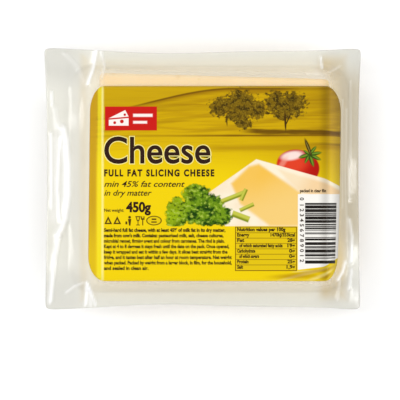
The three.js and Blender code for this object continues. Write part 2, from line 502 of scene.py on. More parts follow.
def film_sheet(name):
    """A flat grid drawn out to the pack's outline: sides pulled in, corners standing out."""
    across = int(2 * OUTLINE_X / SHEET_STEP)
    along = int(2 * OUTLINE_Y / SHEET_STEP)
    bpy.ops.object.select_all(action="DESELECT")
    bpy.ops.mesh.primitive_grid_add(x_subdivisions=across, y_subdivisions=along, size=2)
    sheet = bpy.context.object
    sheet.name = name
    u, v, _ = points_of(sheet).T
    pull_x = SIDE_PULL_X * (1 - v * v) + 0.7 * np.sin(2.4 * v + 0.6) * v
    pull_y = SIDE_PULL_Y * (1 - u * u) - 0.5 * np.sin(5 * u) * (1 - u * u)
    corner = 0.9 * np.abs(u * v) ** 40  # only the very corners are cut round
    x = u * (OUTLINE_X - pull_x - corner)
    y = v * (OUTLINE_Y - pull_y - corner)
    return sheet, x, y


def rim_waves(x, y):
    """How the sealed rim curls and waves, 0 on the cheese and full at the rim, in mm."""
    off_label = outside(x, y, LABEL_SPAN_X, LABEL_SPAN_Y, LABEL_SPAN_CORNER)
    out = np.clip(off_face(x, y) / FREE_RUN, 0, 1) ** 2
    out = out * np.clip((off_label - 0.3) / 4, 0, 1)
    slow = crumple(x, y, 34, 1.7) * 2.4
    quick = crumple(x, y / 2.2, 9, 4.1) * 0.5
    fine = crumple(x, y / 1.8, 3.4, 8.3) * 0.08
    # the right end's flange droops towards its cut edge
    right_curl = -0.05 * np.clip(x - RIGHT_CURL_FROM, 0, None) ** 2
    return out * (slow + quick + fine + right_curl)


def creases(x, y):
    """How far the creases raise the film, in mm, and how white they paint it, from 0 to 1: the whitening
    of folded film and painted highlight.
    """
    off_label = outside(x, y, LABEL_SPAN_X, LABEL_SPAN_Y, LABEL_SPAN_CORNER)
    raised = sum(ridge(x, y, path, width, height) for path, width, height, white in CREASES)
    whitened_and_highlit = sum(ridge(x, y, path, width, white) for path, width, height, white in CREASES)
    clear_of_label = np.clip(off_label / 1.5, 0, 1)
    return raised * clear_of_label, np.clip(whitened_and_highlit, 0, 1) * clear_of_label


def remember_whitening_and_highlight(sheet, whitening_and_highlight):
    """Stores how white each point of a film is painted: the whitening of folded film and painted
    highlight.
    """
    stored = sheet.data.attributes.new("whitening_and_highlight", "FLOAT", "POINT")
    stored.data.foreach_set("value", whitening_and_highlight)


def set_points(sheet, x, y, z):
    points = np.stack((x, y, z), axis=1) * MM
    sheet.data.vertices.foreach_set("co", points.ravel())
    sheet.data.update()


def give_wall(sheet, thickness, side):
    """Gives a sheet its thickness in mm: side is -1 under it and 1 over it."""
    bpy.ops.object.select_all(action="DESELECT")
    sheet.select_set(True)
    bpy.context.view_layer.objects.active = sheet
    wall = sheet.modifiers.new("wall", "SOLIDIFY")
    wall.thickness = thickness * MM
    wall.offset = side
    bpy.ops.object.modifier_apply(modifier="wall")


# %% [markdown]
# The upper film is drawn tight, so it only follows its heights, its waves and its creases.

# %% Upper film
FILM_THICKNESS = 0.12
upper_film, film_x, film_y = film_sheet("film_upper")
waves = rim_waves(film_x, film_y)
folds, whitening_and_highlight = creases(film_x, film_y)
upper_z = upper_height(film_x, film_y) + waves + folds
set_points(upper_film, film_x, film_y, upper_z)
remember_whitening_and_highlight(upper_film, whitening_and_highlight)
print("upper film, mm: from", round(upper_z.min(), 2), "to", round(upper_z.max(), 2))

# %% [markdown]
# The lower film was pressed into a tray's shape and then shrunk, so its sides are gathered in
# small puckers. On the rim it takes the upper film's waves and creases, a hair below them,
# because the two are sealed there.

# %% Lower film
RIM_GAP = 0.3
GATHER_DEPTH = 0.8
RIM_WIDTH = 4
lower_film, film_x, film_y = film_sheet("film_lower")
side = np.clip(off_face(film_x, film_y) / FREE_RUN, 0, 1)
off_rim = np.clip(-outside(film_x, film_y, RIM_X, RIM_Y, RIM_RADIUS) / RIM_WIDTH, 0, 1)
gathers = np.abs(crumple(film_x, film_y, 4, 12.4)) * GATHER_DEPTH * side * off_rim
lower_z = lower_height(film_x, film_y) - gathers + (waves + folds - RIM_GAP) * (1 - off_rim)
lower_z = np.maximum(lower_z, LOWER_Z)
set_points(lower_film, film_x, film_y, lower_z)
remember_whitening_and_highlight(lower_film, whitening_and_highlight * 0.5)

for sheet, slot_name, inward in ((upper_film, "upper_film", -1), (lower_film, "lower_film", 1)):
    give_wall(sheet, FILM_THICKNESS, inward)
    bpy.ops.object.shade_smooth()
    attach(sheet, "root")
    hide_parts(slot_name)
    tell_triangles(sheet)

# %% [markdown]
# The film is a clear, slightly milky laminate. True glass would need many light bounces to
# show the cheese through four walls, so its clearness is an alpha instead. Where it lies
# tight on the cheese it is almost clear, and where it stands free it looks hazy: warm beside
# the cheese, which colours it, and greyer at the pack's corners. Its right end is painted
# brownish, as painted shade, and along its creases it is painted white, partly for the
# whitening of folded film and partly as painted highlight. It is glossy everywhere.

# %% Film finish
def finish_film(name, clear, hazy):
    f = Finish(name)
    where = f.add("ShaderNodeTexCoord").outputs["Object"]
    parts = f.add("ShaderNodeSeparateXYZ", None, {"Vector": where}).outputs
    x, y, z = (Value(f, part) / MM for part in parts)
    away = f.off_span(x, FACE_X).math("MAXIMUM", f.off_span(y, FACE_Y))
    free = f.step(away, -2.5, 8)
    off_cheese = f.step(away, 1, 13)
    cloud = f.noise(where, 45.0, 4.0)
    whitening_and_highlight = f.value("ShaderNodeAttribute", {"attribute_name": "whitening_and_highlight"}, None, "Fac")
    haze = free * (hazy - clear) + clear + (cloud - 0.5) * 0.10 + whitening_and_highlight * 0.4
    haze = haze * (1.0 - f.below(z, 12, 23) * 0.5)
    tint = f.mix(off_cheese, colour(248, 239, 214), colour(240, 239, 230))
    warm_sides = f.step(x.math("ABSOLUTE"), 54, 60) * f.below(away, 7, 14)
    tint = f.mix(warm_sides * 0.9, tint, colour(228, 204, 144))
    corner = f.step(x.math("ABSOLUTE"), 50, 66) * f.step(y.math("ABSOLUTE"), 40, 54)
    tint = f.mix(corner * 0.55, tint, colour(214, 213, 206))
    # painted shade: the film's right end is tinted brownish
    painted_shade_end = f.step(x, 60, 68) * (1.0 - f.step(x, 71.5, 74.5) * 0.1) * f.near(y - 10, 32, 50)
    tint = f.mix(painted_shade_end * 0.85, tint, colour(202, 190, 162))
    # white along the creases: the whitening of folded film and painted highlight
    tint = f.mix(whitening_and_highlight * (1.0 - painted_shade_end * 0.4), tint, colour(255, 255, 254))
    fine = f.noise(where, 600.0, 3.0)
    broad = f.noise(where, 60.0, 2.0)
    relief = f.bump(broad + fine * 0.2, 0.0005, 0.2)
    return f.close({
        "Base Color": tint,
        "Roughness": 0.14,
        "Alpha": haze,
        "Normal": relief,
        "IOR": 1.5,
    })


upper_film.data.materials.append(finish_film("film_upper", 0.10, 0.55))
lower_film.data.materials.append(finish_film("film_lower", 0.12, 0.50))

# %% [markdown]
# The label is one glossy printed sheet. It was flat when it was printed and stuck on, and
# then it bent down over both ends of the cheese. So it is cut flat at its full length, a
# plane with rounded corners, and its printing is fixed to it while it is flat. Cuts across
# it every millimetre or so let its ends fold down smoothly, and a few more cuts part the
# zones that are printed each with a material of its own.

# %% Label blank
LABEL_LIFT = 0.15
LABEL_LEFT, LABEL_RIGHT = -58.9, 70.6
LABEL_NEAR, LABEL_FAR = -48.8, 44.0
LABEL_CORNER = 12.0
LEFT_BEND, RIGHT_BEND = -47.1, 58.1
# how long each folded end looks from above, as a share of its length: first at the far
# side, then how much longer or shorter it looks at the near side
LEFT_FOLD, LEFT_FOLD_OPENS = 0.58, 0.10
RIGHT_FOLD, RIGHT_FOLD_CLOSES = 0.655, 0.16
PRINT_UNIT = 100.0
ZONE_LINES_X = (-19.5, 14.9, 25.0, 45.1)
ZONE_LINES_Y = (21.9, -4.5, -22.85)
CUT_PITCH = 1.3
CRINKLES = (
    # path, width and height of each crease in the label's near right corner
    (((36, -47.6), (47, -45.6), (59, -41.5)), 1.0, 0.75),
    (((50, -48.4), (58, -45.4), (63, -38.5)), 0.9, 0.8),
    (((54, -49.0), (60, -46.5)), 0.9, 0.6),
)


def cut_across(place, direction):
    """Cuts the mesh being edited along a plane."""
    bpy.ops.mesh.select_all(action="SELECT")
    bpy.ops.mesh.bisect(plane_co=place, plane_no=direction)


label_centre = ((LABEL_LEFT + LABEL_RIGHT) / 2, (LABEL_NEAR + LABEL_FAR) / 2, 0)
label_size = (LABEL_RIGHT - LABEL_LEFT, LABEL_FAR - LABEL_NEAR, 1)
bpy.ops.object.select_all(action="DESELECT")
bpy.ops.mesh.primitive_plane_add(size=1, location=label_centre)
label = bpy.context.object
label.name = "label_print"
label.scale = label_size
bpy.ops.object.transform_apply(location=True, scale=True)
bpy.ops.object.mode_set(mode="EDIT")
bpy.ops.mesh.select_all(action="SELECT")
bpy.ops.mesh.bevel(offset=LABEL_CORNER, segments=14, affect="VERTICES")
for place in np.arange(LABEL_LEFT + 1, LABEL_RIGHT - 0.4, CUT_PITCH):
    cut_across((place, 0, 0), (1, 0, 0))
for place in np.arange(LABEL_NEAR + 0.5, LABEL_FAR, CUT_PITCH):
    cut_across((0, place, 0), (0, 1, 0))
for place in ZONE_LINES_X:
    cut_across((place, 0, 0), (1, 0, 0))
for place in ZONE_LINES_Y:
    cut_across((0, place, 0), (0, 1, 0))
bpy.ops.object.mode_set(mode="OBJECT")


def remember_printing(piece):
    """Stores where each point of a flat piece lies, so that the printing stays on it."""
    printing = piece.data.uv_layers.new(name="printing")
    for loop in piece.data.loops:
        place = piece.data.vertices[loop.vertex_index].co
        printing.data[loop.index].uv = (place.x / PRINT_UNIT, place.y / PRINT_UNIT)


def lay_on_pack(piece, lift):
    """Folds a flat piece, drawn in mm, down over the cheese's ends and lays it on the film."""
    x, y, z = points_of(piece).T
    low = np.clip((LABEL_FAR - y) / (LABEL_FAR - LABEL_NEAR), 0, 1)
    left_fold = LEFT_FOLD + LEFT_FOLD_OPENS * low
    right_fold = RIGHT_FOLD - RIGHT_FOLD_CLOSES * low ** 2
    x = np.where(x < LEFT_BEND, LEFT_BEND + (x - LEFT_BEND) * left_fold, x)
    x = np.where(x > RIGHT_BEND, RIGHT_BEND + (x - RIGHT_BEND) * right_fold, x)
    crinkled = sum(ridge(x, y, *crinkle) for crinkle in CRINKLES)
    height = upper_height(x, y) + crinkled + lift + z
    set_points(piece, x, y, height)


remember_printing(label)
flat_centres = [face.center.copy() for face in label.data.polygons]
lay_on_pack(label, LABEL_LIFT)
bpy.ops.object.shade_smooth()
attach(label, "root")
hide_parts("label")
print("label cut, mm:", round(label_size[0], 1), "by", round(label_size[1], 1))

# %% [markdown]
# The printing is a country picture in ochre and yellow, with food pictures below it. It is
# drawn with shader maths in the label's own millimetres, layer over layer, as a printer
# lays inks: each layer is a shape, a colour, and how far it covers.

# %% Drawing with shader maths
def between(start, end):
    """The middle of a line, its length, and its turn in degrees."""
    run = Vector(end) - Vector(start)
    return (Vector(start) + Vector(end)) / 2, run.length, math.degrees(math.atan2(run.y, run.x))


def least(values):
    """The smallest of several Values."""
    smallest = values[0]
    for value in values[1:]:
        smallest = smallest.math("MINIMUM", value)
    return smallest


class Printing(Finish):
    """A finish whose colour is built up by laying shapes of ink on a ground."""

    def __init__(self, name, ground):
        super().__init__(name)
        uv = self.add("ShaderNodeUVMap", {"uv_map": "printing"}).outputs[0]
        scaled = self.add("ShaderNodeVectorMath", {"operation": "SCALE"}, {0: uv, "Scale": PRINT_UNIT})
        self.where = scaled.outputs[0]
        parts = self.add("ShaderNodeSeparateXYZ", None, {"Vector": self.where}).outputs
        self.x, self.y = Value(self, parts[0]), Value(self, parts[1])
        self.tint = ground

    def lay(self, shape, ink):
        self.tint = self.mix(shape, self.tint, ink)

    def oval(self, x, y, width, height, turn=0.0, soft=0.06):
        """1 inside an oval, 0 outside; width and height are half sizes."""
        return self.below(self.oval_reach(x, y, width, height, turn), 1 - soft, 1 + soft)

    def placed(self, x, y, turn=0.0, width=1.0, height=1.0):
        """The printing's place as seen from x and y, turned, and in units of a size."""
        return self.add("ShaderNodeMapping", {"vector_type": "TEXTURE"}, {
            "Vector": self.where,
            "Location": (x, y, 0),
            "Rotation": (0, 0, math.radians(turn)),
            "Scale": (width, height, 1),
        }).outputs[0]

    def oval_reach(self, x, y, width, height, turn=0.0):
        """How far out a point lies in an oval, 1 at its edge."""
        placed = self.placed(x, y, turn, width, height)
        return self.value("ShaderNodeVectorMath", {"operation": "LENGTH"}, {0: placed}, "Value")

    def heap(self, ovals):
        """How far out a point lies in the nearest of several ovals, 1 at its edge."""
        return least([self.oval_reach(*oval) for oval in ovals])

    def beside(self, start, end):
        """The distance to the left of the line from start to end."""
        run = Vector(end) - Vector(start)
        normal = Vector((-run.y, run.x)).normalized()
        along = self.value(
            "ShaderNodeVectorMath", {"operation": "DOT_PRODUCT"},
            {0: self.where, 1: (normal.x, normal.y, 0)}, "Value",
        )
        return along - normal.dot(Vector(start))

    def shape(self, corners, soft=0.12):
        """1 inside a convex shape whose corners run counter-clockwise."""
        sides = zip(corners, corners[1:] + corners[:1])
        return self.step(least([self.beside(start, end) for start, end in sides]), -soft, soft)

    def block(self, left, right, low, high, soft=0.08):
        """1 inside an upright rectangle."""
        off = self.off_span(self.x, (left, right)).math("MAXIMUM", self.off_span(self.y, (low, high)))
        return self.below(off, -soft, soft)

    def stroke(self, start, end, width, soft=0.3):
        """A tapered stroke from start to end."""
        middle, length, turn = between(start, end)
        return self.oval(middle.x, middle.y, length / 2, width / 2, turn, soft)

    def grain(self, across, along, detail=3.0, offset=0.0):
        """Noise whose grains have a size in mm."""
        return self.noise(self.placed(offset, offset, 0.0, across, along), 1.0, detail)


# %% [markdown]
# Printed ink gives back less light than a colour chart does, so every ink is darkened by
# the same share. First comes the ground: fields in ochre at the far end, which turn to a
# warm yellow at the near end. The sheet's two folded ends get painted shade and light: a
# darker gold band, a lit band and a painted highlight at the left bend, and painted shade
# at the right bend and towards the right end.

# %% Inks and ground
PAPER_WHITE = 0.84


def ink(red, green, blue):
    """A colour as it comes out in print."""
    return tuple(PAPER_WHITE * share for share in colour(red, green, blue)[:3]) + (1.0,)


def print_ground(p):
    nearer = p.step(p.y * -1.0 + p.x * -0.06, -26, 4)
    p.tint = p.mix(nearer, ink(208, 168, 3), ink(243, 211, 6))
    p.lay(p.step(p.x, 10, 64) * (1.0 - nearer * 0.8) * 0.8, ink(196, 156, 4))
    p.lay(p.grain(60, 16, 2.0) * 0.14, ink(250, 214, 10))


def paint_left_end_light(p):
    # painted shade: a darker gold band along the left end's edge, lighter towards its near end
    low_end = p.step(p.y * -1.0, 10, 40)
    p.lay(p.below(p.x, -54.4, -51.8) * (0.85 - low_end * 0.5), ink(203, 156, 6))
    # painted light: the part of the slope that faces the large light
    bright = p.step(p.x, -53.0, -51.4) * p.below(p.x, -49.2, -46.6)
    p.lay(bright * 0.6, ink(252, 238, 40))
    # a painted highlight along the bend
    painted_bend_highlight = p.near(p.x + 48.2, 0.3, 1.3)
    p.lay(painted_bend_highlight * 0.45, ink(255, 252, 180))


def paint_right_end_shade(p):
    # painted shade along the right bend
    painted_bend_shade = p.near(p.x - 58.6, 0.4, 4.2)
    p.lay(painted_bend_shade * 0.28, ink(44, 28, 8))
    # painted shade, deeper towards the right end that turns away from the light
    p.lay(p.step(p.x, 62.5, 70.5) * 0.34, ink(44, 28, 8))


def paint_crinkle_light(p):
    """The creased near corner of the right end: painted highlights along the creases, painted shade
    between them.
    """
    # painted highlights on the creases' crests
    for start, end, width in (
        ((38.0, -48.0), (60.0, -42.6), 1.3), ((50.0, -48.6), (66.0, -43.0), 1.5),
        ((44.0, -44.4), (54.0, -43.8), 0.8),
    ):
        p.lay(p.stroke(start, end, width, 0.7) * 0.45, ink(255, 244, 170))
    # painted shade between the creases
    for start, end, width in (
        ((34.0, -46.8), (54.0, -46.2), 2.2), ((44.0, -45.4), (66.0, -42.4), 1.8),
        ((56.0, -47.6), (64.0, -45.4), 1.6),
    ):
        p.lay(p.stroke(start, end, width, 0.8) * 0.65, ink(172, 124, 6))


# %% [markdown]
# The picture's far end is two hills with mown rows, a lane, and long shades across the field.

# %% Hills and fields
def print_hills(p):
    ridge_line = p.step(p.x, -62, 14) * 12.4 + 30.4
    above = p.y - ridge_line
    streaks = p.grain(26, 1.3, 4.0, 3.0)
    p.lay(p.step(streaks, 0.42, 0.66) * 0.45, ink(172, 128, 4))
    p.lay(p.step(above, 0.0, 0.8) * 0.7, ink(200, 162, 12))
    p.lay(p.step(above, 0.0, 0.8) * p.step(p.x, -5, 30) * 0.5, ink(158, 120, 16))
    # the shade that the far hill throws under its ridge, dark at the line and soft below it
    under = p.step(above, -4.5, 0.1) * p.below(above, 0.0, 0.7)
    on_ridge = p.step(p.x, -44, -20) * (1.0 - p.step(p.x, 34, 50) * 0.6)
    p.lay(under * under * on_ridge * 0.8, ink(138, 92, 4))
    line = p.near(above, 0.1, 0.7)
    p.lay(line * on_ridge * 0.7, ink(104, 70, 4))
    # rows that climb to the right
    climb = p.y - p.x * 0.16 + streaks * 3.4
    rows = (climb * 0.85).math("SINE")
    p.lay(p.step(rows, 0.1, 1.0) * p.below(above, -1.5, 0.0) * 0.34, ink(150, 108, 4))
    brow = p.near(p.y - 34.0 - p.x * 0.03, 0.4, 2.8)
    p.lay(brow * p.step(p.x, -26, -10) * 0.3, ink(146, 106, 4))
    p.lay(p.step(p.x, 48, 62) * p.step(p.y, 24, 34) * 0.35, ink(128, 92, 8))


def print_shades(p):
    """The lane and the two long shades across the field."""
    ripple = (p.grain(9, 1.4, 2.0) - 0.5) * 1.6
    shade = (p.y - 22.9 + p.x * 0.018).math("ABSOLUTE") + ripple
    p.lay(p.below(shade, 0.5, 1.7) * p.step(p.x, 16, 26) * 0.92, ink(100, 66, 4))
    lane = (p.y - 20.4 - p.x * 0.004).math("ABSOLUTE") + ripple * 0.2
    p.lay(p.below(lane, 0.1, 0.8) * (p.step(p.x, -30, 20) * 0.6 + 0.3), ink(118, 80, 2))


def print_lower_field(p):
    streaks = p.grain(24, 1.2, 4.0, 6.0)
    p.lay(p.step(p.y, 4, 20) * p.step(streaks, 0.44, 0.68) * 0.3, ink(176, 134, 4))
    second = (p.y - 14.4 - p.x * 0.012).math("ABSOLUTE") + (streaks - 0.5) * 3.0
    p.lay(p.below(second, 0.2, 2.4) * p.step(p.x, -8, 10) * 0.6, ink(168, 124, 2))
    third = (p.y - 16.4).math("ABSOLUTE") + (streaks - 0.5) * 2.0
    p.lay(p.below(third, 0.1, 1.0) * p.step(p.x, 44, 58) * 0.5, ink(112, 80, 4))


# %% [markdown]
# Two field trees stand on the hill: crowns of leaf clumps with ragged edges, on thin trunks.

# %% Trees
def print_trees(p):
    leaves = p.grain(1.7, 1.5, 4.0, 5.0)
    clumps = p.grain(2.6, 2.2, 3.0, 8.0)
    speckle = p.grain(0.75, 0.65, 2.0, 2.0)
    crowns = (
        (
            (8.6, 34.2, 6.0, 5.0), (17.4, 35.4, 8.6, 7.0), (25.4, 32.8, 6.0, 5.0),
            (16.6, 30.2, 6.8, 4.0), (19.2, 26.4, 4.3, 3.2),
        ),
        ((35.0, 36.2, 6.0, 6.0), (42.8, 35.4, 7.0, 6.4), (38.6, 31.2, 6.0, 3.6)),
    )
    for crown in crowns:
        cover = p.below(p.heap(crown) + (leaves - 0.5) * 1.7, 0.76, 1.04)
        p.lay(cover * 0.94, ink(98, 74, 8))
        p.lay(cover * p.step(clumps, 0.44, 0.62) * 0.5, ink(146, 116, 16))
        p.lay(cover * p.below(clumps, 0.36, 0.52) * 0.7, ink(44, 34, 6))
        p.lay(cover * p.step(speckle, 0.54, 0.68) * 0.5, ink(178, 150, 40))
        p.lay(cover * p.below(speckle, 0.34, 0.44) * 0.55, ink(40, 30, 6))
    dark_bark = ink(70, 48, 8)
    p.lay(p.stroke((11.2, 30.4), (11.5, 25.0), 0.55), dark_bark)
    p.lay(p.stroke((39.0, 32.0), (39.4, 22.8), 0.95), dark_bark)
    p.lay(p.stroke((42.0, 31.4), (39.2, 25.0), 0.6), dark_bark)


# %% [markdown]
# The plain red tag carries a drawn wedge of cheese and two bars, and no name.

# %% Red tag
def print_tag(p):
    red, white = ink(204, 28, 22), ink(255, 244, 238)
    p.lay(p.block(-46.7, -21.9, 22.9, 34.3), red)
    p.lay(p.shape([(-44.8, 25.2), (-35.4, 25.2), (-35.4, 28.8), (-44.8, 28.0)]), white)
    p.lay(p.shape([(-44.8, 28.7), (-35.4, 29.5), (-37.0, 32.6)]), white)
    for x, y, size in ((-42.0, 26.6, 0.7), (-38.6, 27.2, 0.9), (-37.2, 30.4, 0.6)):
        p.lay(p.oval(x, y, size, size, 0, 0.2), red)
    p.lay(p.block(-33.2, -24.0, 29.4, 30.8, 0.3), white)
    p.lay(p.block(-33.2, -26.6, 26.2, 27.4, 0.3), white)


# %% [markdown]
# The food picture is a ripe tomato behind two thick slices of cheese, with a bunch of parsley
# and cut chives in front, laid from the back to the front. The tomato is two ovals with a
# lit side, a bright spot and a star of sepals.

# %% Tomato
def print_tomato(p):
    body = p.oval(44.9, 6.4, 9.8, 7.4, -6).math("MAXIMUM", p.oval(48.8, 4.8, 6.6, 6.8))
    p.lay(body, ink(196, 26, 14))
    lit = p.below(p.oval_reach(42.6, 7.0, 9.4, 6.2, 10), 0.35, 1.1)
    p.lay(body * lit * 0.85, ink(232, 70, 40))
    p.lay(body * p.step(p.y * -0.5 + p.x, 45.0, 53.0) * 0.45, ink(150, 12, 8))
    p.lay(body * p.oval(42.4, 10.9, 5.0, 2.0, 10, 0.4) * 0.95, ink(253, 232, 222))
    p.lay(body * p.oval(38.2, 7.6, 1.2, 3.4, -34, 0.6) * 0.5, ink(246, 168, 146))
    leaf, deep = ink(112, 146, 36), ink(44, 82, 18)
    sepals = (
        ((45.8, 10.0), 1.9), ((48.6, 7.4), 1.6), ((52.6, 6.0), 2.0), ((55.9, 9.0), 1.8),
        ((56.2, 12.4), 1.8), ((53.8, 15.2), 1.6), ((48.0, 13.4), 1.3),
    )
    for end, width in sepals:
        p.lay(p.stroke((50.6, 11.4), end, width), deep)
        p.lay(p.stroke((51.0, 11.7), end, width * 0.45), leaf)
    p.lay(p.stroke((51.6, 10.8), (48.6, 18.8), 1.7), ink(66, 48, 12))
    p.lay(p.stroke((51.2, 12.0), (49.0, 17.6), 0.5), ink(132, 120, 50))


# %% [markdown]
# The slices are flat shapes with straight sides: the rind is cream, the cut faces are gold.

# %% Cheese slices
def print_slices(p):
    cream, pink, face = ink(253, 242, 216), ink(247, 222, 188), ink(248, 214, 138)
    soft = p.grain(14, 11, 2.0, 1.0)
    whole = p.shape(
        [(25.4, 9.2), (1.6, -7.6), (5.0, -14.0), (10.6, -22.6), (74.0, -22.6), (74.0, -4.6)], 0.25
    )
    p.lay(whole, cream)
    p.lay(whole * p.step(soft, 0.36, 0.66) * 0.6, pink)
    second = p.shape([(35.6, 4.4), (46.4, -6.4), (74.0, -16.0), (74.0, -6.6)], 0.9)
    p.lay(second * 0.85, ink(249, 226, 186))
    p.lay(second * p.step(p.x - p.y * 0.6, 44, 56) * 0.6, ink(244, 200, 140))
    crack = p.shape([(29.5, 7.2), (32.6, 7.0), (49.6, -5.4), (46.8, -6.8)], 0.5)
    p.lay(crack * 0.9, ink(254, 250, 236))
    front = p.shape([
        (26.6, 6.8), (22.0, 5.6), (13.6, -2.4), (17.8, -12.0), (32.0, -22.6), (46.2, -22.6),
        (46.4, -6.8),
    ], 1.1)
    p.lay(front, face)
    deeper = p.step(p.y - p.x * 0.3, -26.0, -4.0)
    p.lay(front * (deeper * 0.6 + 0.35) * (p.grain(16, 18, 2.0, 6.0) * 0.4 + 0.7), ink(246, 193, 74))


# %% [markdown]
# The parsley is a heap of ovals whose edge is torn by noise, with noise of two sizes for its
# dark hollows and bright tips. Each chive is a short rod, light along its upper side.

# %% Parsley and chives
def print_herbs(p):
    curl = p.grain(3.0, 2.8, 3.0, 7.0)
    bunch = p.grain(5.4, 4.4, 4.0, 11.0)
    fine = p.grain(1.7, 1.5, 3.0, 4.0)
    heap = p.heap((
        (-3.4, -7.2, 7.2, 4.6), (-11.6, -15.6, 6.4, 7.0), (-4.6, -14.6, 6.8, 7.4),
        (3.6, -12.4, 6.4, 5.6), (8.4, -17.6, 5.8, 5.2), (1.6, -19.0, 6.8, 4.2),
        (-12.8, -20.0, 5.4, 3.0),
    ))
    cover = p.below(heap + (curl - 0.5) * 0.9, 0.82, 1.02)
    p.lay(cover, ink(78, 118, 14))
    p.lay(cover * p.step(bunch, 0.46, 0.58) * 0.85, ink(120, 156, 22))
    p.lay(cover * p.below(bunch, 0.38, 0.5) * 0.9, ink(18, 56, 4))
    lobe = p.below(p.x - p.y * 0.35, -9.0, 1.0)
    p.lay(cover * lobe * 0.6, ink(172, 198, 14))
    p.lay(cover * p.step(fine, 0.54, 0.66) * 0.75, ink(176, 198, 76))
    p.lay(cover * p.below(fine, 0.36, 0.47) * 0.8, ink(16, 56, 4))


def print_chives(p):
    """Four cut lengths of chive: a dark edge, a pale green side and a paler cut end."""
    for start, end, width in (
        ((8.8, -11.0), (20.0, -6.6), 1.15), ((18.2, -10.4), (20.6, -5.0), 0.95),
        ((17.6, -15.2), (24.2, -12.2), 0.95), ((14.0, -16.6), (22.0, -19.6), 1.5),
    ):
        middle, length, turn = between(start, end)
        placed = p.placed(middle.x, middle.y, turn)
        parts = p.add("ShaderNodeSeparateXYZ", None, {"Vector": placed}).outputs
        along = Value(p, parts[0]).math("ABSOLUTE") - length / 2
        side = Value(p, parts[1])
        across = side.math("ABSOLUTE") - width
        cover = p.below(along.math("MAXIMUM", across), -0.35, 0.25)
        p.lay(cover, ink(132, 144, 22))
        p.lay(cover * p.step(side, -width * 0.6, width * 0.2) * 0.85, ink(208, 208, 80))


# %% [markdown]
# The table's frame is one block on another, with lines at a steady pitch. The bars of the
# code are white noise on two pitches, cut off at a level, so they spell nothing.

# %% Table and bar code
TABLE_PITCH = 2.55
BAR_PITCH = 0.54
GAP_PITCH = 1.75


def print_table(p):
    brown = ink(112, 74, 8)
    p.lay(p.block(15.3, 44.7, -44.0, -22.9), brown)
    p.lay(p.block(15.65, 44.35, -43.65, -23.25), ink(228, 196, 14))
    ruled = ((p.y * -1.0 - 23.1) / TABLE_PITCH).math("FRACT")
    inside = p.block(15.6, 44.4, -43.4, -25.4)
    p.lay(inside * p.below(ruled, 0.08, 0.16) * 0.75, brown)


def print_bar_code(p):
    panel = p.shape([(45.2, -43.4), (57.0, -42.0), (75.0, -36.6), (75.0, -7.4), (45.2, -7.4)], 0.12)
    p.lay(panel, ink(250, 247, 240))
    up = p.y + 60.0
    wide_place = (up / BAR_PITCH).math("FLOOR")
    wide = p.value("ShaderNodeTexWhiteNoise", {"noise_dimensions": "1D"}, {"W": wide_place})
    thin_place = (up / BAR_PITCH * 2.0).math("FLOOR")
    thin = p.value("ShaderNodeTexWhiteNoise", {"noise_dimensions": "1D"}, {"W": thin_place})
    crowd = p.step(p.y, -24.0, -14.0) * 0.14
    bars = p.step(wide * 0.6 + thin * 0.4 + crowd, 0.28, 0.30)
    gaps = p.step((up / GAP_PITCH).math("FRACT"), 0.12, 0.16)
    p.lay(bars * gaps * p.block(48.6, 68.0, -40.6, -11.6), ink(34, 31, 28))


# %% [markdown]
# Every food pack has a row of small signs. Each is built up from plain shapes in dark ink,
# with smaller ones in the ground's colour on top where the sign is hollow.

# %% Small signs
def print_signs(p):
    """Two recycling triangles, a figure with a bin, a glass and fork, and an oval mark."""
    dark, ground = ink(84, 58, 10), ink(232, 203, 12)
    for x in (-45.1, -40.8):
        outline = [(x - 1.9, -21.7), (x + 1.9, -21.7), (x, -17.9)]
        hollow = [(x - 0.8, -21.05), (x + 0.8, -21.05), (x, -19.4)]
        p.lay(p.shape(outline), dark)
        p.lay(p.shape(hollow), ground)
    p.lay(p.oval(-34.9, -18.4, 0.65, 0.65, 0, 0.2), dark)
    p.lay(p.shape([(-35.7, -19.2), (-35.2, -22.4), (-34.5, -22.4), (-34.1, -19.2)]), dark)
    p.lay(p.shape([(-32.2, -17.9), (-31.4, -20.3), (-30.4, -20.3), (-29.6, -17.9)]), dark)
    p.lay(p.shape([(-31.6, -18.4), (-31.1, -19.8), (-30.7, -19.8), (-30.2, -18.4)]), ground)
    p.lay(p.oval(-23.3, -20.0, 3.7, 2.3), dark)
    p.lay(p.oval(-23.3, -20.0, 3.2, 1.85), ground)
    for bar in (
        (-36.9, -36.0, -21.8, -20.4),  # the bin
        (-31.1, -30.7, -22.0, -20.2), (-31.8, -30.0, -22.3, -21.9),  # the glass's stem and foot
        (-28.9, -28.4, -22.3, -18.0), (-29.5, -27.8, -19.6, -18.0),  # the fork
        (-24.4, -22.2, -19.7, -19.0), (-24.6, -22.0, -21.0, -20.4),  # in the oval mark
    ):
        p.lay(p.block(*bar), dark)
    p.lay(p.block(-29.0, -28.3, -18.9, -17.8), ground)


# %% [markdown]
# One material for the whole picture would be too long for a renderer to hold. The label is
# cut on a few lines into zones, and each zone's material draws only what shows there.

